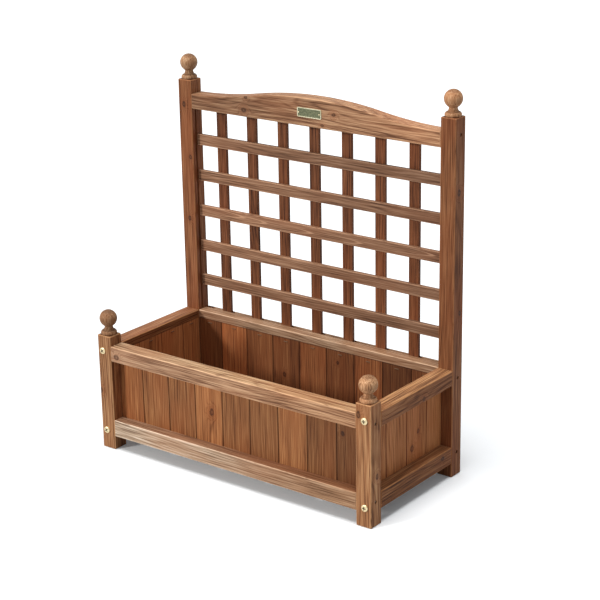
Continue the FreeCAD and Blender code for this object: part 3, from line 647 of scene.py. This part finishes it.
def plain_metal(name, colour, roughness, metallic=1.0):
    """Metal, bare or tarnished, with small variations of colour and gloss."""
    material, start = blank_material(name)
    mottle = start.noise(start.place(), (0.6, 0.6, 0.6), 2.0, 2.0)
    worn_colour = mottle.rise(0.3, 0.7).tint(opaque(shaded(colour, 0.82)), opaque(colour))
    roughness = roughness + mottle * 0.12
    start.close({"Base Color": worn_colour, "Metallic": metallic, "Roughness": roughness})
    return material


brass = plain_metal("screw_brass", (0.78, 0.64, 0.38), 0.28, 0.88)
# the cross recess darkened: painted shade in the hollow, with tarnish in it
recess_shade_tarnish = plain_metal("recess_shade_and_tarnish", (0.11, 0.075, 0.04), 0.6, 0.4)
screw = round_bar(SHANK_RADIUS, SHANK_LENGTH, 32)
turn_up(SHANK_RADIUS, 0.0, HEAD)
bpy.ops.object.mode_set(mode="OBJECT")
screw.data.materials.append(brass)
for wide, deep in ((RECESS_SPAN, RECESS_WIDTH), (RECESS_WIDTH, RECESS_SPAN)):
    cutter_place = (0, 0, (CUTTER_TOP - RECESS_DEPTH / 2) * MM)
    bpy.ops.mesh.primitive_cube_add(size=1, location=cutter_place)
    cutter = bpy.context.object
    cutter.scale = (wide * MM, deep * MM, RECESS_DEPTH * MM)
    settle(cutter)
    cutter.data.materials.append(recess_shade_tarnish)
    cut = screw.modifiers.new("recess", "BOOLEAN")
    cut.operation = "DIFFERENCE"
    cut.object = cutter
    cut.solver = "EXACT"
    cut.material_mode = "TRANSFER"
    pick(screw)
    bpy.ops.object.modifier_apply(modifier=cut.name)
    bpy.data.objects.remove(cutter)
bpy.ops.object.shade_smooth_by_angle(angle=math.radians(35))
screws = []
for side_x in (-1, 1):
    for side_y in (-1, 1):
        for level in SCREW_LEVELS:
            driven = copy_of(screw)
            # each recess stops at a turn of its own
            twist = math.radians(17 * (side_x + 3 * side_y) + level)
            driven.rotation_euler = (math.radians(90 if side_y < 0 else -90), twist, 0)
            settle(driven, (side_x * SCREW_X * MM, side_y * POST_FACE_Y * MM, level * MM))
            screws.append(driven)
bpy.data.objects.remove(screw)
for driven in screws:
    driven.select_set(True)
bpy.context.view_layer.objects.active = screws[0]
bpy.ops.object.join()
domed_screws = bpy.context.object
domed_screws.name = "domed_brass_screws"
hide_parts("pan_head_screws")
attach(domed_screws, "root")

# ---- Small metal fixings ----
# Screws sunk deep in the posts' outer sides, wire staples through the board ends, brads at the
# lattice crossings and in the floor, and the brass pins of the plate.

steel = plain_metal("stained_steel", (0.24, 0.15, 0.09), 0.5, 0.7)
for node in ("board_staples", "lath_brads", "floor_brads"):
    finish_node(node, steel)
finish_node("sunk_screws", plain_metal("dull_steel", (0.3, 0.27, 0.24), 0.45))
finish_node("plate_pins", plain_metal("pin_brass", (0.7, 0.6, 0.38), 0.3))

# ---- Studio floor ----
# A plain pale floor. The camera sees it white, and it keeps the soft shadow under the planter.


def directly_seen(start):
    """1 on rays from the camera, from a gloss or through glass, and 0 on light for the object."""
    camera_ray = start.node("ShaderNodeLightPath", output="Is Camera Ray")
    glossy_ray = camera_ray.beside("Is Glossy Ray")
    transmitted = camera_ray.beside("Is Transmission Ray")
    return camera_ray.math("MAXIMUM", glossy_ray).math("MAXIMUM", transmitted)


# a hair below the feet, so that the two never share a level
bpy.ops.mesh.primitive_plane_add(size=24, location=(0, 0, -0.2 * MM))
studio_floor = bpy.context.object
studio_floor.name = "studio_floor"
material, start = blank_material("floor_white")
matt = start.node("ShaderNodeBsdfDiffuse", values={0: (0.915, 0.945, 0.98, 1)})
glow = start.node("ShaderNodeEmission", values={0: (0.9, 0.97, 1, 1), 1: 0.08})
white = start.node("ShaderNodeAddShader", values={0: matt, 1: glow})
plain = start.node("ShaderNodeBsdfDiffuse", values={0: (0.42, 0.42, 0.42, 1)})
both = start.node("ShaderNodeMixShader", values={0: directly_seen(start), 1: plain, 2: white})
start.node("ShaderNodeOutputMaterial", values={0: both})
studio_floor.data.materials.append(material)

# ---- Light ----
# A key from the front left, low enough to reach the boards below the top rail, a broad overhead
# light that brightens the upper faces, and an even dim surround that the camera sees white.

world = bpy.data.worlds.new("surround")
bpy.context.scene.world = world
world.use_nodes = True
world.node_tree.nodes.clear()
start = Wire(world.node_tree)
dim = start.node("ShaderNodeBackground", values={0: (0.96, 0.98, 1, 1), 1: 0.26})
white = start.node("ShaderNodeBackground", values={0: (1, 1, 1, 1), 1: 1.0})
sky = start.node("ShaderNodeMixShader", values={0: directly_seen(start), 1: dim, 2: white})
start.node("ShaderNodeOutputWorld", values={0: sky})

# each light: its strength, its width in degrees, the way to it from the planter, and its colour
LIGHTS = {
    "key_light": (1.75, 9, (-0.44, -0.82, 0.37), (1.0, 0.97, 0.93)),
    "overhead_light": (2.8, 32, (0.03, -0.13, 1.0), (1.0, 0.985, 0.96)),
}
for name, (strength, width, way, colour) in LIGHTS.items():
    bpy.ops.object.light_add(type="SUN", location=Vector(way) * 3)
    light = bpy.context.object
    light.name = name
    light.data.energy = strength
    light.data.angle = math.radians(width)
    light.data.color = colour
    light.rotation_euler = Vector(way).to_track_quat("Z", "Y").to_euler()

# ---- Camera ----
# Placed from the photograph's own perspective: right of the front, looking down on the box.

CAMERA_PLACE = (1.8891, -2.411, 1.3694)
CAMERA_TURN = (71.0808, 0.9035, 36.8978)

camera_data = bpy.data.cameras.new("camera")
camera = bpy.data.objects.new("camera", camera_data)
bpy.context.scene.collection.objects.link(camera)
camera.location = CAMERA_PLACE
camera.rotation_euler = tuple(math.radians(angle) for angle in CAMERA_TURN)
camera_data.sensor_width = 36
camera_data.lens = 104.775
camera_data.clip_end = 60
bpy.context.scene.camera = camera
bpy.context.scene.view_settings.view_transform = "Standard"
